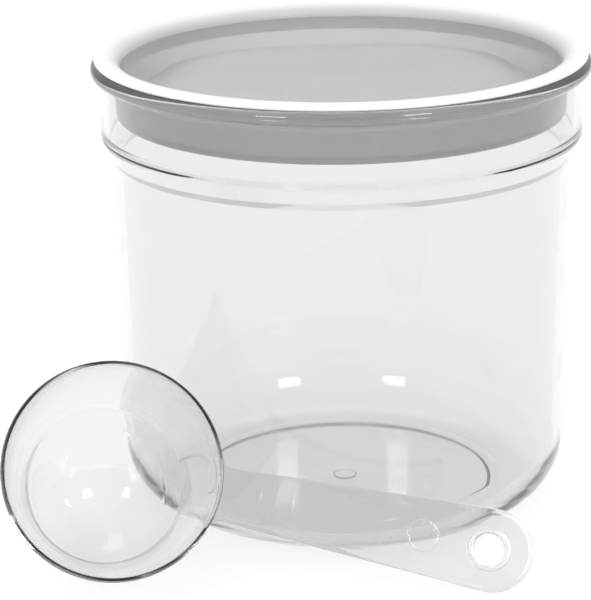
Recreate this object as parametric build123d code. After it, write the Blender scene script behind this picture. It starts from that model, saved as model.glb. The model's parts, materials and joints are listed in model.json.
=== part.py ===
from build123d import *
import os
from math import acos, asin, atan2, cos, degrees, hypot, radians, sin, sqrt

# Clear storage jar with a grey plug lid and a measuring scoop, in millimetres.
# The origin is the centre of the jar's foot, on the table. +Z is up; the scoop lies on the -Y side.

# ---------------------------------------------------------------- jar
FOOT_RADIUS = 42.6            # where the flat foot meets the rounded base corner
FOOT_RING_WIDTH = 3.2         # flat ring that touches the table
FOOT_RECESS = 0.8             # the base inside the ring is lifted by this much
GATE_RADIUS = 3.0             # round pip left under the base by moulding
GATE_DROP = 0.4
BODY_RADIUS_LOW = 58.2        # outer radius of the wall just above the base corner
BODY_RADIUS_TOP = 59.45       # outer radius of the wall just under the shoulder
BODY_WALL = 2.1
BASE_THICKNESS = 2.2          # above the recess
SHOULDER_LOW = 93.0           # height where the wall turns out into the shoulder
SHOULDER_TOP = 99.5           # height where the shoulder becomes the collar
SHOULDER_LIFT = 1.9           # the inner shoulder sits this much above the outer one
COLLAR_RADIUS = 62.3
COLLAR_WALL = 2.2
RIM_LAND = 118.2              # flat top of the rim, which carries the lid
BEAD_HEIGHT = 3.9
BEAD_RADIUS = 64.5            # outermost radius of the jar

# ---------------------------------------------------------------- lid
LIP_TOP = 119.7               # top of the closed jar
LIP_OUTER = 63.5
LIP_ROLL = 3.4                # radius of the milky lip's roll down into the lid
PLUG_RADIUS_TOP = 58.4        # outer radius of the grey plug wall under the seal
PLUG_RADIUS_LOW = 58.0
PLUG_BOTTOM = 103.7
PLUG_CORNER = 2.6             # outer radius between plug wall and lid floor
LID_WALL = 1.5
LID_FLOOR = 1.6
SEAL_GAP = 0.1                # room between the seal's skirt and the plug wall
SEAL_SKIRT = 0.7              # thickness of the seal's skirt
SEAL_SKIRT_LOW = 112.6
SEAL_BEAD = 0.6               # radius of the two soft beads round the seal's skirt
SEAL_BEAD_HEIGHTS = (113.9, 116.3)

# Grip: a raised round panel, cut straight at the back, where a ridge stands over a finger well.
GRIP_RADIUS = 51.3            # round edge of the panel
GRIP_HALF_WIDTH = 26.0        # from the middle to the straight back face
GRIP_CORNER = 3.0             # radius of the panel's corners, seen from above
GRIP_LEVEL = 110.0            # height of the panel
GRIP_CROWN = 115.3            # height of its arched ridge in the middle
GRIP_SHOULDER = 112.6         # height of the ridge's top at its two ends
GRIP_RIDGE = 3.2              # width of the ridge's top
GRIP_WALL = 1.6
GRIP_TURN = 3.6               # the lid sits turned by this many degrees on the jar

# ---------------------------------------------------------------- scoop
SCOOP_RIM = 26.93             # outer radius of the bowl's rim
SCOOP_WALL = 1.25
BOWL_SPHERE = 20.0            # inner radius of the bowl's round bottom
BOWL_SPHERE_DEPTH = 24.9      # depth of its centre below the rim
MEASURE_LINE_DEPTHS = (29.4, 37.2)
MEASURE_LINE_RADIUS = 0.2     # half-width of the fine lines round the inside
HANDLE_REACH = 94.4           # from the bowl's centre to the centre of the handle's round end
HANDLE_END = 10.55            # radius of the handle's round end
HANDLE_NECK = 6.9             # half-width of the handle where it meets the bowl
HANDLE_NECK_REACH = 27.0
NECK_FILLET = 2.6
NECK_PLATE = 2.4              # thickness of the filleted plate between bowl and handle
WEB_LEVEL = -0.5              # the web lies this far below the rim
WEB_THICKNESS = 1.5
RAIL_WIDTH = 1.5
RAIL_DROP_NECK = 7.0          # depth of the side rails at the bowl
RAIL_DROP_END = 1.9           # and at the end
HOLE_RADIUS = 4.0             # hanging hole
HOLE_REACH = 93.7
BOSS_RADIUS = 5.3             # raised ring round the hole
BOSS_THICKNESS = 2.1
MARK_HEIGHT = 0.3             # plain raised marks on the web
MARK_RING_REACH = 77.0
MARK_RING_RADIUS = 4.0
MARK_BAR_REACH = (36.0, 40.0, 44.0)
MARK_BAR = (1.0, 6.0)

# Resting place of the scoop: centre of its rim, and the way its opening faces.
SCOOP_PLACE = (-55.70, -74.70, 33.40)
SCOOP_TILT_UP = 28.97         # the opening faces this far above the horizontal
SCOOP_TURN = 10.28            # and is turned this far from -Y towards +X
SCOOP_ROLL = 16.28            # the handle slopes down by this much within the rim's plane

# ---------------------------------------------------------------- worked out
BASE_CORNER = BODY_RADIUS_LOW - FOOT_RADIUS
FLOOR_LEVEL = FOOT_RECESS + BASE_THICKNESS
PLUG_TOP = LIP_TOP - LIP_ROLL
SEAL_INNER = PLUG_RADIUS_TOP + SEAL_GAP
GRIP_END = sqrt(GRIP_RADIUS**2 - GRIP_HALF_WIDTH**2)
BOWL_SPHERE_OUTER = BOWL_SPHERE + SCOOP_WALL
# The bowl's conical wall is tangent to its round bottom; this is the cone's half-angle.
BOWL_ANGLE = acos(BOWL_SPHERE_OUTER / hypot(SCOOP_RIM, BOWL_SPHERE_DEPTH)) - atan2(BOWL_SPHERE_DEPTH, SCOOP_RIM)


def turned(edges):
    """Turn a closed profile (radius, height) about Z into a solid."""
    return revolve(Plane.XZ * make_face(edges), Axis.Z)


def polar(centre, radius, angle):
    """The point at an angle in degrees on a circle."""
    return (centre[0] + radius * cos(radians(angle)), centre[1] + radius * sin(radians(angle)))


def arc(centre, radius, first, last):
    """A circular arc between two angles in degrees."""
    middle = polar(centre, radius, (first + last) / 2)
    return ThreePointArc(polar(centre, radius, first), middle, polar(centre, radius, last))


def path(*points):
    """Straight edges through the points."""
    return [Line(a, b) for a, b in zip(points, points[1:])]


# ---------------------------------------------------------------- jar
def shoulder(inner_radius, outer_radius, low, high):
    """A quarter ellipse from the body wall (low) out to the collar wall (high)."""
    width = outer_radius - inner_radius
    return EllipticalCenterArc((inner_radius, high), width, high - low, start_angle=-90, arc_size=90)


def make_canister():
    ring_inner = FOOT_RADIUS - FOOT_RING_WIDTH
    bead = BEAD_HEIGHT / 2
    bead_centre = (BEAD_RADIUS - bead, RIM_LAND - bead)
    collar_inner = COLLAR_RADIUS - COLLAR_WALL
    body_inner_top = BODY_RADIUS_TOP - BODY_WALL
    body_inner_low = BODY_RADIUS_LOW - BODY_WALL
    inner_corner = body_inner_low - FOOT_RADIUS
    inner_low = SHOULDER_LOW + SHOULDER_LIFT
    inner_high = SHOULDER_TOP + SHOULDER_LIFT

    outside = path(
        (0, FOOT_RECESS - GATE_DROP),
        (GATE_RADIUS, FOOT_RECESS - GATE_DROP),
        (GATE_RADIUS, FOOT_RECESS),
        (ring_inner - FOOT_RECESS, FOOT_RECESS),
        (ring_inner, 0),
        (FOOT_RADIUS, 0),
    )
    outside.append(arc((FOOT_RADIUS, BASE_CORNER), BASE_CORNER, -90, 0))
    outside += path((BODY_RADIUS_LOW, BASE_CORNER), (BODY_RADIUS_TOP, SHOULDER_LOW))
    outside.append(shoulder(BODY_RADIUS_TOP, COLLAR_RADIUS, SHOULDER_LOW, SHOULDER_TOP))
    outside += path(
        (COLLAR_RADIUS, SHOULDER_TOP),
        (COLLAR_RADIUS, RIM_LAND - BEAD_HEIGHT),
        (bead_centre[0], RIM_LAND - BEAD_HEIGHT),
    )
    outside.append(arc(bead_centre, bead, -90, 90))

    inside = path((bead_centre[0], RIM_LAND), (collar_inner, RIM_LAND), (collar_inner, inner_high))
    inside.append(shoulder(body_inner_top, collar_inner, inner_low, inner_high))
    inside += path((body_inner_top, inner_low), (body_inner_low, FLOOR_LEVEL + inner_corner))
    inside.append(arc((FOOT_RADIUS, FLOOR_LEVEL + inner_corner), inner_corner, -90, 0))
    inside += path((FOOT_RADIUS, FLOOR_LEVEL), (0, FLOOR_LEVEL), (0, FOOT_RECESS - GATE_DROP))
    return turned(outside + inside)


# ---------------------------------------------------------------- lid
def grip_block(inset):
    """The raised grip as a block that starts below the lid's floor, all its walls moved in by inset."""
    back = GRIP_HALF_WIDTH - inset
    radius = GRIP_RADIUS - inset
    end = GRIP_END - inset
    bottom = PLUG_BOTTOM - inset
    level = GRIP_LEVEL - inset
    crown = GRIP_CROWN - inset
    shoulder_level = GRIP_SHOULDER - inset

    outline = Circle(radius) & (Pos(0, back - GRIP_RADIUS) * Rectangle(2 * GRIP_RADIUS, 2 * GRIP_RADIUS))
    corners = [v for v in outline.vertices() if v.Y > back - 0.01]
    outline = fillet(corners, GRIP_CORNER - inset)
    panel = Pos(0, 0, bottom) * extrude(outline, level - bottom)

    # The ridge's section: a dish that rises from the middle of the panel to the ridge's flat top.
    rise = GRIP_CROWN - GRIP_LEVEL
    reach = GRIP_HALF_WIDTH - GRIP_RIDGE
    dish = (reach**2 + rise**2) / (2 * rise)
    dish_centre = (0, GRIP_LEVEL + dish)
    last = -degrees(asin((dish_centre[1] - crown) / (dish + inset)))
    top = polar(dish_centre, dish + inset, last)
    section = [arc(dish_centre, dish + inset, -90, last)]
    section += path(top, (back, crown), (back, level), (0, level))
    ridge = Pos(-end, 0, 0) * extrude(Plane.YZ * make_face(section), 2 * end)

    arch = path((-end, shoulder_level), (-end, level - 1), (end, level - 1), (end, shoulder_level))
    arch.append(ThreePointArc((end, shoulder_level), (0, crown), (-end, shoulder_level)))
    under_arch = Pos(0, back, 0) * extrude(Plane.XZ * make_face(arch), back)
    above = extrude(Pos(0, 0, level - 1) * outline, rise + 2)
    return panel + (ridge & under_arch & above)


def make_lid_cover():
    corner = (PLUG_RADIUS_LOW - PLUG_CORNER, PLUG_BOTTOM + PLUG_CORNER)
    inner_top = PLUG_RADIUS_TOP - LID_WALL
    inner_low = PLUG_RADIUS_LOW - LID_WALL
    floor = PLUG_BOTTOM + LID_FLOOR
    inner_corner = inner_low - corner[0]

    edges = path((PLUG_RADIUS_TOP, PLUG_TOP), (PLUG_RADIUS_LOW, corner[1]))
    edges.append(arc(corner, PLUG_CORNER, 0, -90))
    edges += path((corner[0], PLUG_BOTTOM), (0, PLUG_BOTTOM), (0, floor), (corner[0], floor))
    edges.append(arc((corner[0], floor + inner_corner), inner_corner, -90, 0))
    edges += path((inner_low, floor + inner_corner), (inner_top, PLUG_TOP), (PLUG_RADIUS_TOP, PLUG_TOP))
    cover = turned(edges) + grip_block(0) - grip_block(GRIP_WALL)
    return Rot(0, 0, GRIP_TURN) * cover


def make_lid_seal():
    roll = (PLUG_RADIUS_TOP - LID_WALL + LIP_ROLL, PLUG_TOP)
    edge = (LIP_TOP - RIM_LAND) / 2
    skirt_outer = SEAL_INNER + SEAL_SKIRT

    edges = [arc(roll, LIP_ROLL, 180, 90)]
    edges += path((roll[0], LIP_TOP), (LIP_OUTER - edge, LIP_TOP))
    edges.append(arc((LIP_OUTER - edge, RIM_LAND + edge), edge, 90, -90))
    edges += path(
        (LIP_OUTER - edge, RIM_LAND),
        (skirt_outer, RIM_LAND),
        (skirt_outer, SEAL_SKIRT_LOW),
        (SEAL_INNER, SEAL_SKIRT_LOW),
        (SEAL_INNER, PLUG_TOP),
        (PLUG_RADIUS_TOP - LID_WALL, PLUG_TOP),
    )
    seal = turned(edges)
    for height in SEAL_BEAD_HEIGHTS:
        seal += Pos(0, 0, height) * Torus(skirt_outer, SEAL_BEAD)
    return seal


# ---------------------------------------------------------------- scoop
def bowl_solid(sphere, rim):
    """The space inside a cone that runs tangent into a round bottom, below the rim."""
    tangent = polar((0, -BOWL_SPHERE_DEPTH), sphere, -degrees(BOWL_ANGLE))
    edges = path((0, 0), (rim, 0), tangent)
    edges.append(arc((0, -BOWL_SPHERE_DEPTH), sphere, -degrees(BOWL_ANGLE), -90))
    edges += path((0, -BOWL_SPHERE_DEPTH - sphere), (0, 0))
    return turned(edges)


def handle_outline():
    """Seen from above: straight tapering sides that run into the round end."""
    end = Pos(HANDLE_REACH, 0) * Circle(HANDLE_END)
    taper = atan2(HANDLE_END - HANDLE_NECK, HANDLE_REACH - HANDLE_NECK_REACH)
    touch = (HANDLE_REACH - HANDLE_END * sin(taper), HANDLE_END * cos(taper))
    start = HANDLE_NECK_REACH / 2
    neck = HANDLE_NECK - (HANDLE_NECK_REACH - start) * sin(taper)
    sides = Polygon((start, neck), (start, -neck), (touch[0], -touch[1]), touch, align=None)
    return sides + end


def make_handle():
    outline = handle_outline()
    web = Pos(0, 0, WEB_LEVEL - WEB_THICKNESS) * extrude(outline, WEB_THICKNESS)
    rails = outline - offset(outline, -RAIL_WIDTH)
    rails = Pos(0, 0, -RAIL_DROP_NECK) * extrude(rails, RAIL_DROP_NECK)
    far = HANDLE_REACH + 2 * HANDLE_END
    under = make_face(path(
        (HANDLE_NECK_REACH, -RAIL_DROP_NECK),
        (HANDLE_REACH, -RAIL_DROP_END),
        (far, -RAIL_DROP_END),
        (far, -2 * RAIL_DROP_NECK),
        (HANDLE_NECK_REACH, -2 * RAIL_DROP_NECK),
        (HANDLE_NECK_REACH, -RAIL_DROP_NECK),
    ))
    rails -= Pos(0, 2 * HANDLE_END, 0) * extrude(Plane.XZ * under, 4 * HANDLE_END)

    joined = outline + Circle(SCOOP_RIM)
    corners = [v for v in joined.vertices() if abs(hypot(v.X, v.Y) - SCOOP_RIM) < 0.01 and v.X > 0]
    joined = fillet(corners, NECK_FILLET)
    neck = joined & (Pos(SCOOP_RIM + HANDLE_NECK / 2, 0) * Rectangle(3 * HANDLE_NECK / 2, SCOOP_RIM))
    plate = Pos(0, 0, -NECK_PLATE) * extrude(neck, NECK_PLATE)

    boss_low = WEB_LEVEL - (BOSS_THICKNESS + WEB_THICKNESS) / 2
    boss = Pos(HOLE_REACH, 0, boss_low) * extrude(Circle(BOSS_RADIUS), BOSS_THICKNESS)
    hole = Pos(HOLE_REACH, 0, 0) * Cylinder(HOLE_RADIUS, 4 * BOSS_THICKNESS)
    return web + rails + plate + boss + marks() - hole


def marks():
    """Plain raised marks: a ring near the hole and three bars near the bowl."""
    ring = Circle(MARK_RING_RADIUS) - Circle(MARK_RING_RADIUS - 2 * MARK_HEIGHT)
    shapes = [Pos(MARK_RING_REACH, 0, WEB_LEVEL) * extrude(ring, MARK_HEIGHT)]
    for reach in MARK_BAR_REACH:
        shapes.append(Pos(reach, 0, WEB_LEVEL) * extrude(Rectangle(*MARK_BAR), MARK_HEIGHT))
    return Part() + shapes


def measure_lines():
    """Fine grooves round the inside of the bowl."""
    lines = []
    for depth in MEASURE_LINE_DEPTHS:
        below = depth - BOWL_SPHERE_DEPTH
        lines.append(Pos(0, 0, -depth) * Torus(sqrt(BOWL_SPHERE**2 - below**2), MEASURE_LINE_RADIUS))
    return Part() + lines


def scoop_plane():
    """The rim's plane where the scoop rests: x runs along the handle, z out of the bowl."""
    up = radians(SCOOP_TILT_UP)
    turn = radians(SCOOP_TURN)
    roll = radians(SCOOP_ROLL)
    out = Vector(cos(up) * sin(turn), -cos(up) * cos(turn), sin(up))
    level = Vector(cos(turn), sin(turn), 0)
    along = level * cos(roll) - out.cross(level) * sin(roll)
    return Plane(origin=SCOOP_PLACE, x_dir=along, z_dir=out)


def make_scoop():
    inner_rim = SCOOP_RIM - SCOOP_WALL / cos(BOWL_ANGLE)
    inside = bowl_solid(BOWL_SPHERE, inner_rim)
    scoop = bowl_solid(BOWL_SPHERE_OUTER, SCOOP_RIM) + make_handle() - inside - measure_lines()
    return scoop_plane() * scoop


PIECES = {
    "canister_body": make_canister,
    "lid_cover": make_lid_cover,
    "lid_seal": make_lid_seal,
    "scoop": make_scoop,
}

os.makedirs("parts", exist_ok=True)
for name, make in PIECES.items():
    piece = make()
    solids = piece.solids()
    export_step(solids[0] if len(solids) == 1 else piece, f"parts/{name}.step")
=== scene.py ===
import json
from math import atan2, cos, degrees, hypot, pi, radians, sin, sqrt

import bmesh
import bpy
from mathutils import Matrix, Vector


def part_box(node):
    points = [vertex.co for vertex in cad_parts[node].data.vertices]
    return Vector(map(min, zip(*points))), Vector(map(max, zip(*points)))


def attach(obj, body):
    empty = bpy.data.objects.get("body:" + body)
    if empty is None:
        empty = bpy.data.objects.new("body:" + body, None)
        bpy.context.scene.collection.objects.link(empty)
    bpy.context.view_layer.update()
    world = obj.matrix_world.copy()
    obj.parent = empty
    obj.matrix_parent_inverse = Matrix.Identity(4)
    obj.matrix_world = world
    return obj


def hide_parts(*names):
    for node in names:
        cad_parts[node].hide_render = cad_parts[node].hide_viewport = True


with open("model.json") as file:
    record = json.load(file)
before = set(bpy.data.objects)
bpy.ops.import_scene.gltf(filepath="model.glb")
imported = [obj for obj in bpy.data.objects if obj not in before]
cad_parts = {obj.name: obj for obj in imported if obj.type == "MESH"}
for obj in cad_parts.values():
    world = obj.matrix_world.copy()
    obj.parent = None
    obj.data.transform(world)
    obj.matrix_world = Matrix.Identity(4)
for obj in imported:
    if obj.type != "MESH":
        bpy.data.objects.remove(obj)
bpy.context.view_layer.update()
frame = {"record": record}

MM = 0.001
TURNS = 256                   # steps round every turned surface

# ---------------------------------------------------------------- sizes in millimetres, as in the model
BOX = {node: [[v / MM for v in corner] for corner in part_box(node)]
       for node in ("canister_body", "lid_cover", "lid_seal")}
BEAD_RADIUS = BOX["canister_body"][1][0]
RIM_LAND = BOX["canister_body"][1][2]
LIP_TOP = BOX["lid_seal"][1][2]
LIP_OUTER = BOX["lid_seal"][1][0]
SKIRT_LOW = BOX["lid_seal"][0][2]
PLUG_RADIUS = BOX["lid_cover"][1][1]
PLUG_BOTTOM = BOX["lid_cover"][0][2]
PLUG_TOP = BOX["lid_cover"][1][2]

BODY_RADIUS_LOW = 58.2        # outer radius of the wall just above the base corner
BODY_RADIUS_TOP = 59.45       # and just under the shoulder
BODY_DRAFT = 0.3              # the wall's line, carried on down to the table, comes in by this much
BODY_WALL = 2.1
BASE_CORNER = 15.6
BASE_RECESS = 0.8             # the base inside the foot ring is lifted by this much
FLOOR_LEVEL = 3.0
FOOT_RING = (38.6, 39.4)      # radii where the recess ends and the foot ring starts
GATE_RADIUS = 3.0             # round pip under the base
GATE_LEVEL = 0.4
SHOULDER_LOW = 93.0
SHOULDER_TOP = 98.6
SHOULDER_LIFT = 1.9           # the inner shoulder sits this much above the outer one
SHOULDER_ROUNDS = (0.8, 3.0)  # radii at the shoulder's lower and upper corner
COLLAR_RADIUS = 62.3
COLLAR_WALL = 2.2
BEAD_HEIGHT = 3.9
BEAD_ROUND = BEAD_HEIGHT / 2 - 0.02

LID_WALL = 1.5
LID_FLOOR = 1.6
PLUG_TAPER = 0.4              # the plug is this much smaller in radius at its bottom
PLUG_CORNER = 2.6             # outer radius between the plug's wall and the lid's floor
LIP_GAP = 0.04                # keeps the lip's underside off the rim and off the grey wall
SKIRT_GAP = 0.1               # room between the lip's skirt and the plug's wall
SKIRT_WALL = 0.7
SKIRT_BEAD = 0.6              # radius of the soft beads round the skirt
SKIRT_BEAD_HEIGHTS = (116.3, 113.9)
GRIP_RADIUS = 51.3
GRIP_HALF_WIDTH = 26.0
GRIP_LEVEL = 110.0
GRIP_CROWN = 115.3
GRIP_RIDGE = 3.2
GRIP_ARCH_REACH = 47.0        # the ridge's top falls to the panel's level this far out
GRIP_ARCH_POWER = 3.3         # how flat the ridge's arch is in the middle
GRIP_WALL = 1.6
GRIP_EDGE = 1.1               # rounding of the grip's upper edge
GRIP_FOOT = 1.6               # rounding where the grip meets the lid's floor
GRIP_SHARPNESS = 26           # power that sets how tight the outline's corners are
GRIP_BLEND = 1.2              # height over which dish and arch run into each other
GRIP_TURN = radians(3.6)
PANEL_STEPS = 44              # rings from the middle of the grip to its edge
ROUND_STEPS = 6               # rings in each rounding of the grip
UNDER_STEPS = 4               # rings in each rounding of its hollow underside

SCOOP_RIM = 26.93
SCOOP_WALL = 1.25
BOWL_SPHERE = 20.0
BOWL_DEPTH = 24.9             # depth of the round bottom's centre
MEASURE_LINES = (29.4, 37.2)  # depths of the fine lines round the inside
MEASURE_GROOVE = 0.12
HANDLE_REACH = 94.4
HANDLE_END = 10.55
HANDLE_NECK = 6.9
NECK_REACH = 27.0
NECK_FILLET = 2.6
WEB_TOP = -0.5
WEB_THICKNESS = 1.5
RAIL_WIDTH = 1.5
RAIL_DROP_NECK = 7.0
RAIL_DROP_END = 1.9
HOLE_REACH = 93.7
HOLE_RADIUS = 4.0
BOSS_RADIUS = 5.3
BOSS_THICKNESS = 2.1
HOLE_DEPTH = 1.25             # middle of the hole's wall, below the rim's plane
HOLE_STEPS = 64
MARK_BOTTOM = WEB_TOP - 0.4   # the raised marks start inside the web
MARK_TOP = WEB_TOP + 0.3
MARK_RING_REACH = 77
MARK_RING_RADII = (4.0, 3.4)
MARK_BAR_REACH = (36, 40, 44)
MARK_BAR_HALF = (0.5, 3)      # half-width and half-length of a bar
CORE_TOP = 2.0                # the cutter for the handle stands this far out of the bowl
SCOOP_ROLL = radians(16.28)


# ---------------------------------------------------------------- mesh helpers
def rounded(corners, steps=7):
    """Points along a path of corners (x, y, radius), each rounded by a tangent arc."""
    points = []
    for i, corner in enumerate(corners):
        here = Vector(corner[:2])
        radius = corner[2] if len(corner) > 2 else 0
        if not radius or i in (0, len(corners) - 1):
            points.append(tuple(here))
            continue
        back = (Vector(corners[i - 1][:2]) - here).normalized()
        ahead = (Vector(corners[i + 1][:2]) - here).normalized()
        half = back.angle(ahead) / 2
        middle = here + (back + ahead).normalized() * radius / sin(half)
        first = here + back * radius / (sin(half) / cos(half)) - middle
        last = here + ahead * radius / (sin(half) / cos(half)) - middle
        sweep = first.angle_signed(last)
        count = max(2, round(steps * abs(sweep) * max(1, radius) ** 0.5))
        for k in range(count + 1):
            angle = -sweep * k / count
            x = first.x * cos(angle) - first.y * sin(angle)
            y = first.x * sin(angle) + first.y * cos(angle)
            points.append((middle.x + x, middle.y + y))
    return points


def finish_mesh(name, bm, crease=32):
    """Turn a bmesh in millimetres into a smooth-shaded object in metres."""
    bmesh.ops.recalc_face_normals(bm, faces=bm.faces)
    bm.transform(Matrix.Scale(MM, 4))
    mesh = bpy.data.meshes.new(name)
    bm.to_mesh(mesh)
    bm.free()
    mesh.shade_smooth()
    mesh.set_sharp_from_angle(angle=radians(crease))
    piece = bpy.data.objects.new(name, mesh)
    bpy.context.scene.collection.objects.link(piece)
    return piece


def skin_rings(name, rings, closed, crease=32):
    """Faces between rings of points; one point alone is a pole. closed joins last to first."""
    bm = bmesh.new()
    rows = [[bm.verts.new(point) for point in ring] for ring in rings]
    pairs = list(zip(rows, rows[1:]))
    if closed:
        pairs.append((rows[-1], rows[0]))
    for low, high in pairs:
        count = max(len(low), len(high))
        for i in range(count):
            j = (i + 1) % count
            corners = [low[i % len(low)], low[j % len(low)], high[j % len(high)], high[i % len(high)]]
            bm.faces.new(list(dict.fromkeys(corners)))
    return finish_mesh(name, bm, crease)


def circle(radius, z):
    if radius < 1e-6:
        return [(0, 0, z)]
    return [(radius * cos(2 * pi * i / TURNS), radius * sin(2 * pi * i / TURNS), z) for i in range(TURNS)]


def lathe(name, profile, closed=False):
    return skin_rings(name, [circle(r, z) for r, z in profile], closed)


def arc(centre, radius, first, last, steps):
    """Points of a circle between two angles in degrees, both ends included."""
    angles = [radians(first + (last - first) * k / steps) for k in range(steps + 1)]
    return [(centre[0] + radius * cos(a), centre[1] + radius * sin(a), 0) for a in angles]


# ---------------------------------------------------------------- jar
def make_canister():
    lower_round, upper_round = SHOULDER_ROUNDS
    inner_collar = COLLAR_RADIUS - COLLAR_WALL
    inner_top = BODY_RADIUS_TOP - BODY_WALL
    bead_low = RIM_LAND - BEAD_HEIGHT
    outer = [(0, GATE_LEVEL), (GATE_RADIUS, GATE_LEVEL, 0.15), (GATE_RADIUS, BASE_RECESS, 0.15),
             (FOOT_RING[0], BASE_RECESS, 0.5), (FOOT_RING[1], 0, 0.4),
             (BODY_RADIUS_LOW - BODY_DRAFT, 0, BASE_CORNER), (BODY_RADIUS_TOP, SHOULDER_LOW, lower_round),
             (COLLAR_RADIUS, SHOULDER_TOP, upper_round), (COLLAR_RADIUS, bead_low, 0.4),
             (BEAD_RADIUS, bead_low, BEAD_ROUND), (BEAD_RADIUS, RIM_LAND, BEAD_ROUND)]
    inner = [(inner_collar, RIM_LAND, 0.5), (inner_collar, SHOULDER_TOP + SHOULDER_LIFT, upper_round),
             (inner_top, SHOULDER_LOW + SHOULDER_LIFT, lower_round),
             (BODY_RADIUS_LOW - BODY_DRAFT - BODY_WALL, FLOOR_LEVEL, BASE_CORNER - BODY_WALL),
             (0, FLOOR_LEVEL)]
    piece = lathe("jar_shell", rounded(outer + inner))
    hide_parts("canister_body")
    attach(piece, "jar")
    return piece


# ---------------------------------------------------------------- lid
def grip_reach(angle, inset):
    """How far the grip's outline, moved in by inset, is from the middle along an angle."""
    side = max(sin(angle), 0) / (GRIP_HALF_WIDTH - inset)
    end = 1 / (GRIP_RADIUS - inset)
    return (side**GRIP_SHARPNESS + end**GRIP_SHARPNESS) ** (-1 / GRIP_SHARPNESS)


def soft_min(a, b, blend):
    """The smaller of two heights, with a smooth change from one to the other."""
    gap = max(blend - abs(a - b), 0) / blend
    return min(a, b) - gap * gap * blend / 4


def grip_height(x, y):
    """The grip's top: a flat panel that rises in a dish to an arched ridge along the straight back."""
    rise = GRIP_CROWN - GRIP_LEVEL
    arch = rise * (1 - abs(x / GRIP_ARCH_REACH) ** GRIP_ARCH_POWER)
    dish = rise * (max(y, 0) / (GRIP_HALF_WIDTH - GRIP_RIDGE)) ** 2
    return GRIP_LEVEL + max(0, soft_min(arch, dish, GRIP_BLEND))


def grip_ring(inset, drop=0.0, share=1.0, level=None):
    """A ring on the grip: the outline moved in, scaled by share, on its top less drop, or at a level."""
    ring = []
    for i in range(TURNS):
        angle = 2 * pi * i / TURNS
        reach = grip_reach(angle, inset)
        x = share * reach * cos(angle)
        y = share * reach * sin(angle)
        z = grip_height(x, y) - drop if level is None else level
        ring.append((x, y, z))
    return ring


def floor_ring(share, inset, radius, z):
    """A flat ring part of the way from the grip's outline out to a circle."""
    ring = []
    for i in range(TURNS):
        angle = 2 * pi * i / TURNS
        reach = grip_reach(angle, inset)
        reach += (radius - reach) * share
        ring.append((reach * cos(angle), reach * sin(angle), z))
    return ring


def ease_out(k, steps):
    """Share of a rounding's radius left after k steps of a quarter circle, quick at first."""
    return 1 - sin(pi / 2 * k / steps)


def ease_in(k, steps):
    """Share of a rounding's radius covered after k steps of a quarter circle, slow at first."""
    return 1 - cos(pi / 2 * k / steps)


def make_lid_cover():
    floor = PLUG_BOTTOM + LID_FLOOR
    low_radius = PLUG_RADIUS - PLUG_TAPER
    floor_edge = low_radius - PLUG_CORNER
    under = GRIP_WALL + 0.4

    rings = [[(0, 0, grip_height(0, 0))]]
    rings += [grip_ring(GRIP_EDGE, share=k / PANEL_STEPS) for k in range(1, PANEL_STEPS)]
    rings += [grip_ring(GRIP_EDGE * ease_out(k, ROUND_STEPS), drop=GRIP_EDGE * ease_in(k, ROUND_STEPS))
              for k in range(ROUND_STEPS + 1)]
    rings += [grip_ring(-GRIP_FOOT * ease_in(k, ROUND_STEPS),
                        level=floor + GRIP_FOOT * ease_out(k, ROUND_STEPS))
              for k in range(ROUND_STEPS + 1)]
    rings += [floor_ring(k / 4, -GRIP_FOOT, floor_edge, floor) for k in range(1, 5)]
    wall = rounded([(floor_edge, floor), (low_radius - LID_WALL, floor, 2.0),
                    (PLUG_RADIUS - LID_WALL, PLUG_TOP), (PLUG_RADIUS, PLUG_TOP, 0.2),
                    (low_radius, PLUG_BOTTOM, PLUG_CORNER), (floor_edge - 0.5, PLUG_BOTTOM)])
    rings += [circle(r, z) for r, z in wall[1:]]
    rings += [floor_ring(1 - k / 3, under, floor_edge, PLUG_BOTTOM) for k in range(1, 4)]
    rings += [grip_ring(under + GRIP_EDGE * ease_in(k, UNDER_STEPS),
                        drop=GRIP_WALL + GRIP_EDGE * ease_out(k, UNDER_STEPS))
              for k in range(UNDER_STEPS + 1)]
    rings += [grip_ring(under + GRIP_EDGE, drop=GRIP_WALL, share=k / PANEL_STEPS)
              for k in range(PANEL_STEPS - 1, 0, -1)]
    rings += [[(0, 0, grip_height(0, 0) - GRIP_WALL)]]
    turn = Matrix.Rotation(GRIP_TURN, 3, "Z")
    rings = [[turn @ Vector(point) for point in ring] for ring in rings]
    piece = skin_rings("lid_shell", rings, closed=False, crease=50)
    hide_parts("lid_cover")
    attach(piece, "lid")
    return piece


def make_lid_seal():
    seat = RIM_LAND + LIP_GAP
    low = PLUG_TOP + LIP_GAP
    skirt_inner = PLUG_RADIUS + SKIRT_GAP
    skirt_outer = skirt_inner + SKIRT_WALL
    roll = LIP_TOP - PLUG_TOP - 2 * LIP_GAP
    edge = (LIP_TOP - seat) / 2 - 0.05
    top = PLUG_RADIUS - LID_WALL
    corners = [(top, low), (top, LIP_TOP, roll), (LIP_OUTER, LIP_TOP, edge), (LIP_OUTER, seat, edge),
               (skirt_outer, seat, 0.25)]
    for height in SKIRT_BEAD_HEIGHTS:
        corners += arc((skirt_outer, height), SKIRT_BEAD, 90, -90, 10)
    corners += [(skirt_outer, SKIRT_LOW, 0.2), (skirt_inner, SKIRT_LOW, 0.2), (skirt_inner, low, 0)]
    piece = lathe("lid_lip", rounded(corners), closed=True)
    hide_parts("lid_seal")
    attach(piece, "lid")
    return piece


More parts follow.
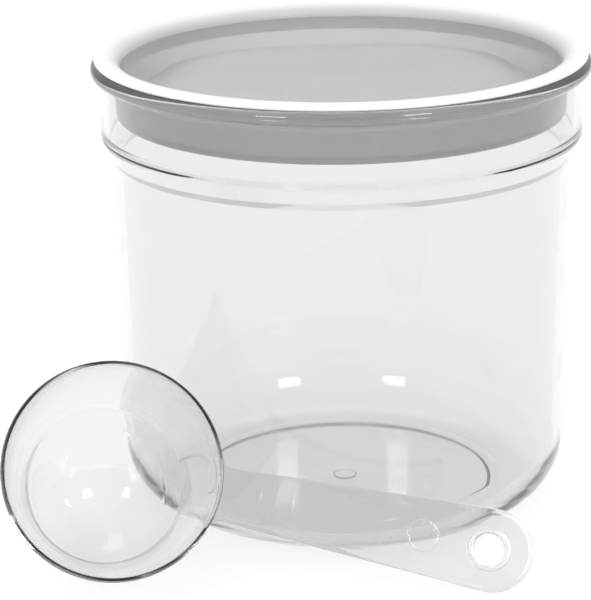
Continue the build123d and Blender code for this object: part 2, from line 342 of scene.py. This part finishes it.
# ---------------------------------------------------------------- scoop
def bowl_profile():
    """The bowl's shell: round bottom, tangent conical wall, rounded rim and two fine lines inside."""
    outer_sphere = BOWL_SPHERE + SCOOP_WALL
    reach = hypot(SCOOP_RIM, BOWL_DEPTH)
    cone = atan2(sqrt(reach**2 - outer_sphere**2), outer_sphere) - atan2(BOWL_DEPTH, SCOOP_RIM)
    rim_inner = SCOOP_RIM - SCOOP_WALL / cos(cone)

    def bottom(radius, first, last, steps):
        angles = [radians(first) + (radians(last) - radians(first)) * k / steps for k in range(steps + 1)]
        return [(radius * cos(a), -BOWL_DEPTH + radius * sin(a), 0) for a in angles]

    points = bottom(outer_sphere, -90, -degrees(cone), 40)
    points[0] = (0, -BOWL_DEPTH - outer_sphere, 0)
    points += [(SCOOP_RIM, 0, 0.35), (rim_inner, 0, 0.35)]
    inside = bottom(BOWL_SPHERE, -degrees(cone), -90, 60)
    for depth in MEASURE_LINES:
        groove = min(range(len(inside)), key=lambda i: abs(inside[i][1] + depth))
        r, z, _ = inside[groove]
        inside[groove] = (r + MEASURE_GROOVE * r / BOWL_SPHERE,
                          z - MEASURE_GROOVE * (depth - BOWL_DEPTH) / BOWL_SPHERE, 0)
    inside[-1] = (0, -BOWL_DEPTH - BOWL_SPHERE, 0)
    return rounded(points + inside, steps=8)


def middle_profile():
    """A solid that fills the upper bowl out to the middle of its wall, to cut the handle back."""
    middle = SCOOP_WALL / 2
    return [(0, CORE_TOP), (SCOOP_RIM - middle, CORE_TOP), (SCOOP_RIM - middle, 0),
            (BOWL_SPHERE + SCOOP_WALL - middle, -BOWL_DEPTH), (0, -BOWL_DEPTH)]


def handle_outline(inset):
    """The handle's outline seen from above, moved in by inset: flared neck, tapering sides, round end."""
    taper = atan2(HANDLE_END - HANDLE_NECK, HANDLE_REACH - NECK_REACH)
    along = Vector((-cos(taper), -sin(taper)))
    across = Vector((-sin(taper), cos(taper)))
    base = Vector((HANDLE_REACH, 0)) + across * (HANDLE_END + NECK_FILLET)
    reach = SCOOP_RIM + NECK_FILLET
    lean = base.dot(along)
    flare = base + along * (-lean - sqrt(lean**2 - base.length_squared + reach**2))
    radius = NECK_FILLET + inset
    start = -flare.normalized()
    sweep = start.angle_signed(-across)
    half = [flare * ((SCOOP_RIM - inset - 1.2) / flare.length)]
    for k in range(9):
        turn = Matrix.Rotation(-sweep * k / 8, 2)
        half.append(flare + turn @ start * radius)
    end_first = pi / 2 + taper
    rounds = 28
    for k in range(rounds + 1):
        angle = end_first * (1 - k / rounds)
        half.append(Vector((HANDLE_REACH, 0)) + (HANDLE_END - inset) * Vector((cos(angle), sin(angle))))
    mirror = [Vector((p.x, -p.y)) for p in reversed(half[:-1])]
    return half + mirror


def plate(name, loops, low, high, bevel=0.18):
    """A flat plate with rounded edges, from closed outlines, between two heights in millimetres."""
    curve = bpy.data.curves.new(name, "CURVE")
    curve.dimensions = "2D"
    curve.fill_mode = "BOTH"
    curve.extrude = (high - low) / 2 - bevel
    curve.bevel_depth = bevel
    curve.bevel_resolution = 2
    curve.offset = -bevel
    for loop in loops:
        spline = curve.splines.new("POLY")
        spline.points.add(len(loop) - 1)
        for point, place in zip(spline.points, loop):
            point.co = (place[0], place[1], 0, 1)
        spline.use_cyclic_u = True
    holder = bpy.data.objects.new(name, curve)
    bpy.context.scene.collection.objects.link(holder)
    bpy.context.view_layer.update()
    mesh = bpy.data.meshes.new_from_object(holder.evaluated_get(bpy.context.evaluated_depsgraph_get()))
    bpy.data.objects.remove(holder)
    bm = bmesh.new()
    bm.from_mesh(mesh)
    bpy.data.meshes.remove(mesh)
    bmesh.ops.remove_doubles(bm, verts=bm.verts, dist=1e-4)
    bmesh.ops.translate(bm, verts=bm.verts, vec=(0, 0, (low + high) / 2))
    return bm


def round_loop(x, radius, count):
    return [(x + radius * cos(2 * pi * k / count), radius * sin(2 * pi * k / count)) for k in range(count)]


def combine(piece, others, operation):
    """Add or cut with an exact boolean, and keep the result as the piece's mesh."""
    for other in others:
        tool = piece.modifiers.new("cut", "BOOLEAN")
        tool.operation = operation
        tool.solver = "EXACT"
        tool.object = other
        bpy.context.view_layer.update()
        result = bpy.data.meshes.new_from_object(piece.evaluated_get(bpy.context.evaluated_depsgraph_get()))
        piece.modifiers.clear()
        piece.data = result
        bpy.data.objects.remove(other)


def make_handle():
    """Web, side rails, ring round the hole and plain raised marks, joined into one mesh."""
    hole = round_loop(HOLE_REACH, HOLE_RADIUS, HOLE_STEPS)
    web = finish_mesh("web", plate("web", [handle_outline(0.3), hole], WEB_TOP - WEB_THICKNESS, WEB_TOP))

    rails = plate("rails", [handle_outline(0), handle_outline(RAIL_WIDTH)], -1, 0, bevel=0.25)
    for vert in rails.verts:
        share = min(max((vert.co.x - NECK_REACH) / (HANDLE_REACH - NECK_REACH), 0), 1)
        drop = RAIL_DROP_NECK + (RAIL_DROP_END - RAIL_DROP_NECK) * share
        if vert.co.z < -0.5:
            vert.co.z = -drop + (vert.co.z + 1)
    rails = finish_mesh("rails", rails)

    boss_top = WEB_TOP + (BOSS_THICKNESS - WEB_THICKNESS) / 2
    boss_loops = [round_loop(HOLE_REACH, BOSS_RADIUS, HOLE_STEPS), hole]
    boss = finish_mesh("boss", plate("boss", boss_loops, boss_top - BOSS_THICKNESS, boss_top, bevel=0.25))

    half_width, half_length = MARK_BAR_HALF
    shapes = [[round_loop(MARK_RING_REACH, radius, 48) for radius in MARK_RING_RADII]]
    for reach in MARK_BAR_REACH:
        shapes.append([[(reach - half_width, -half_length), (reach + half_width, -half_length),
                        (reach + half_width, half_length), (reach - half_width, half_length)]])
    marks = [finish_mesh("mark", plate("mark", loops, MARK_BOTTOM, MARK_TOP, bevel=0.1)) for loops in shapes]
    combine(web, [rails, boss] + marks, "UNION")
    return web


def make_scoop():
    bowl = lathe("scoop_shell", bowl_profile())
    handle = make_handle()
    combine(handle, [lathe("core", middle_profile())], "DIFFERENCE")
    combine(bowl, [handle], "UNION")
    bowl.data.shade_smooth()
    bowl.data.set_sharp_from_angle(angle=radians(32))

    hole = next(m for m in frame["record"]["mounts"] if m["name"] == "hang_hole")
    out = Vector(hole["axis"]).normalized()
    level = Vector((0, 0, 1)).cross(out).normalized()
    along = level * cos(SCOOP_ROLL) - out.cross(level) * sin(SCOOP_ROLL)
    centre = Vector(hole["pos_m"]) - along * HOLE_REACH * MM + out * HOLE_DEPTH * MM
    turn = Matrix((along, out.cross(along), out)).transposed().to_4x4()
    bowl.data.transform(Matrix.Translation(centre) @ turn)
    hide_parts("scoop")
    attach(bowl, "scoop")
    return bowl


# ---------------------------------------------------------------- materials
def new_material(name):
    material = bpy.data.materials.new(name)
    material.use_nodes = True
    tree = material.node_tree
    return material, tree, tree.nodes["Principled BSDF"]


def link_noise(tree, scale, detail, stretch=None):
    """A noise texture in object space; stretch squeezes it along an axis."""
    place = tree.nodes.new("ShaderNodeTexCoord")
    noise = tree.nodes.new("ShaderNodeTexNoise")
    noise.inputs["Scale"].default_value = scale
    noise.inputs["Detail"].default_value = detail
    source = place.outputs["Object"]
    if stretch:
        mapping = tree.nodes.new("ShaderNodeMapping")
        mapping.inputs["Scale"].default_value = stretch
        tree.links.new(source, mapping.inputs["Vector"])
        source = mapping.outputs["Vector"]
    tree.links.new(source, noise.inputs["Vector"])
    return noise


def ramp(tree, source, stops):
    """A colour ramp over source, from a list of (position, grey or colour)."""
    node = tree.nodes.new("ShaderNodeValToRGB")
    elements = node.color_ramp.elements
    while len(elements) < len(stops):
        elements.new(0.5)
    for element, (position, value) in zip(elements, stops):
        element.position = position
        element.color = (value, value, value, 1) if isinstance(value, float) else (*value, 1)
    tree.links.new(source, node.inputs["Fac"])
    return node


def over_radius(tree, near, far, stops):
    """A colour ramp that runs from one distance off the jar's axis to another, in metres."""
    place = tree.nodes.new("ShaderNodeTexCoord")
    flat = tree.nodes.new("ShaderNodeMapping")
    flat.inputs["Scale"].default_value = (1, 1, 0)
    reach = tree.nodes.new("ShaderNodeVectorMath")
    reach.operation = "LENGTH"
    share = tree.nodes.new("ShaderNodeMapRange")
    share.inputs["From Min"].default_value = near
    share.inputs["From Max"].default_value = far
    tree.links.new(place.outputs["Object"], flat.inputs["Vector"])
    tree.links.new(flat.outputs["Vector"], reach.inputs[0])
    tree.links.new(reach.outputs["Value"], share.inputs["Value"])
    return ramp(tree, share.outputs["Result"], stops)


def add_bump(tree, shader, noise, distance):
    bump = tree.nodes.new("ShaderNodeBump")
    bump.inputs["Strength"].default_value = 1.0
    bump.inputs["Distance"].default_value = distance
    tree.links.new(noise.outputs["Fac"], bump.inputs["Height"])
    tree.links.new(bump.outputs["Normal"], shader.inputs["Normal"])


def darken_inside(tree, density):
    """Grey absorption along the light's way through the plastic."""
    absorb = tree.nodes.new("ShaderNodeVolumeAbsorption")
    absorb.inputs["Color"].default_value = (0.5, 0.5, 0.5, 1)
    absorb.inputs["Density"].default_value = density
    tree.links.new(absorb.outputs["Volume"], tree.nodes["Material Output"].inputs["Volume"])


def clear_plastic(name, tint, wave, density):
    """Clear moulded plastic: faint flow waves, and scuffs that show in the roughness."""
    material, tree, shader = new_material(name)
    shader.inputs["Base Color"].default_value = (*tint, 1)
    shader.inputs["IOR"].default_value = 1.53
    shader.inputs["Transmission Weight"].default_value = 1.0
    scuffs = link_noise(tree, scale=90, detail=6)
    rough = ramp(tree, scuffs.outputs["Fac"], [(0.45, 0.012), (0.72, 0.07)])
    tree.links.new(rough.outputs["Color"], shader.inputs["Roughness"])
    add_bump(tree, shader, link_noise(tree, scale=34, detail=1.5, stretch=(1, 1, 0.35)), wave)
    darken_inside(tree, density)
    return material


def grey_plastic():
    """Smoky grey plastic that lets light through and blurs it; painted backlight makes its colour paler
    towards the outer wall, standing in for light shining through the wall from behind.
    """
    material, tree, shader = new_material("smoky_grey_plastic")
    # painted backlight: the base colour runs from grey at the lid's floor to near white at the outer wall
    colour_with_painted_light = over_radius(tree, near=0.0505, far=0.0565, stops=[(0.0, 0.76), (1.0, 0.97)])
    tree.links.new(colour_with_painted_light.outputs["Color"], shader.inputs["Base Color"])
    shader.inputs["IOR"].default_value = 1.5
    shader.inputs["Transmission Weight"].default_value = 0.55
    grain = link_noise(tree, scale=700, detail=4)
    rough = ramp(tree, grain.outputs["Fac"], [(0.3, 0.28), (0.7, 0.42)])
    tree.links.new(rough.outputs["Color"], shader.inputs["Roughness"])
    add_bump(tree, shader, grain, distance=0.00002)
    darken_inside(tree, density=100)
    return material


def milky_rubber():
    """Soft milky lip: slightly warm outside, and painted shade makes it greyer where it rolls down into the
    lid.
    """
    material, tree, shader = new_material("milky_soft_plastic")
    # painted shade: grey base colour where the lip rolls down into the lid, running out to the warm cream of
    # the outer edge
    rolled_in_painted_shade = (0.72, 0.72, 0.72)
    cream = (0.99, 0.985, 0.965)
    colour_with_painted_light = over_radius(tree, near=0.0568, far=0.0618, stops=[(0.0, rolled_in_painted_shade), (1.0, cream)])
    tree.links.new(colour_with_painted_light.outputs["Color"], shader.inputs["Base Color"])
    shader.inputs["IOR"].default_value = 1.45
    grain = link_noise(tree, scale=150, detail=2)
    rough = ramp(tree, grain.outputs["Fac"], [(0.3, 0.3), (0.7, 0.42)])
    tree.links.new(rough.outputs["Color"], shader.inputs["Roughness"])
    return material


def dress(piece, material):
    piece.data.materials.clear()
    piece.data.materials.append(material)


# ---------------------------------------------------------------- studio
def make_camera():
    """A long lens from the front, a little above the jar, aimed at its middle."""
    away = 0.6313
    height = 0.2567
    pitch = radians(17.99)
    yaw = radians(-1.15)
    roll = radians(-0.97)
    ahead = Vector((sin(yaw) * cos(pitch), cos(yaw) * cos(pitch), -sin(pitch)))
    right = Vector((cos(yaw), -sin(yaw), 0))
    up = right.cross(ahead)
    across = right * cos(roll) + up * sin(roll)
    upright = up * cos(roll) - right * sin(roll)
    data = bpy.data.cameras.new("camera")
    data.sensor_fit = "VERTICAL"
    data.sensor_height = 36
    data.lens = 149.9
    camera = bpy.data.objects.new("camera", data)
    turn = Matrix((across, upright, -ahead)).transposed().to_4x4()
    camera.matrix_world = Matrix.Translation((0, -away, height)) @ turn
    bpy.context.scene.collection.objects.link(camera)
    bpy.context.scene.camera = camera


def make_light(name, azimuth, elevation, distance, size, power):
    """A square softbox that faces the jar; azimuth 0 is in front, towards -Y, and angles are in degrees."""
    data = bpy.data.lights.new(name, "AREA")
    data.shape = "SQUARE"
    data.size = size
    data.energy = power
    light = bpy.data.objects.new(name, data)
    a, e = radians(azimuth), radians(elevation)
    place = distance * Vector((sin(a) * cos(e), -cos(a) * cos(e), sin(e)))
    target = Vector((0, 0, 0.05))
    light.location = target + place
    light.rotation_euler = place.to_track_quat("Z", "Y").to_euler()
    bpy.context.scene.collection.objects.link(light)


def light_from_direction(tree):
    """A studio that is brightest overhead and behind, and less than half as bright low in front."""
    place = tree.nodes.new("ShaderNodeTexCoord")
    lean = tree.nodes.new("ShaderNodeVectorMath")
    lean.operation = "DOT_PRODUCT"
    lean.inputs[1].default_value = (0, 0.5, 0.87)
    strength = tree.nodes.new("ShaderNodeMapRange")
    strength.inputs["From Min"].default_value = -0.5
    strength.inputs["From Max"].default_value = 0.9
    strength.inputs["To Min"].default_value = 0.42
    strength.inputs["To Max"].default_value = 0.95
    tree.links.new(place.outputs["Generated"], lean.inputs[0])
    tree.links.new(lean.outputs["Value"], strength.inputs["Value"])
    tree.links.new(strength.outputs["Result"], tree.nodes["Background"].inputs["Strength"])
    tree.nodes["Background"].inputs["Color"].default_value = (1, 1, 1, 1)


def make_studio():
    scene = bpy.context.scene
    scene.view_settings.view_transform = "Standard"
    world = bpy.data.worlds.new("studio")
    scene.world = world
    world.use_nodes = True
    light_from_direction(world.node_tree)

    # The floor gives off light as a lit white table does.
    bm = bmesh.new()
    bmesh.ops.create_grid(bm, x_segments=8, y_segments=8, size=3000)
    floor = finish_mesh("floor", bm)
    material, _, shader = new_material("pale_floor")
    shader.inputs["Base Color"].default_value = (0.3, 0.3, 0.3, 1)
    shader.inputs["Roughness"].default_value = 0.9
    shader.inputs["Specular IOR Level"].default_value = 0.1
    shader.inputs["Emission Color"].default_value = (1, 1, 1, 1)
    shader.inputs["Emission Strength"].default_value = 0.82
    dress(floor, material)

    make_light("softbox_left", azimuth=-32, elevation=30, distance=1.2, size=0.25, power=2.2)
    make_light("softbox_right", azimuth=35, elevation=30, distance=1.2, size=0.25, power=2.2)
    make_light("top_light", azimuth=180, elevation=62, distance=1.3, size=0.9, power=2.5)
    scene.cycles.max_bounces = 48
    scene.cycles.transmission_bounces = 48
    scene.cycles.glossy_bounces = 24
    scene.cycles.diffuse_bounces = 4
    scene.cycles.volume_bounces = 0


make_camera()
make_studio()
dress(make_canister(),
      clear_plastic("clear_jar_plastic", tint=(0.88, 0.88, 0.875), wave=0.00004, density=24))
dress(make_lid_cover(), grey_plastic())
dress(make_lid_seal(), milky_rubber())
dress(make_scoop(),
      clear_plastic("clear_scoop_plastic", tint=(0.85, 0.85, 0.845), wave=0.00006, density=8))
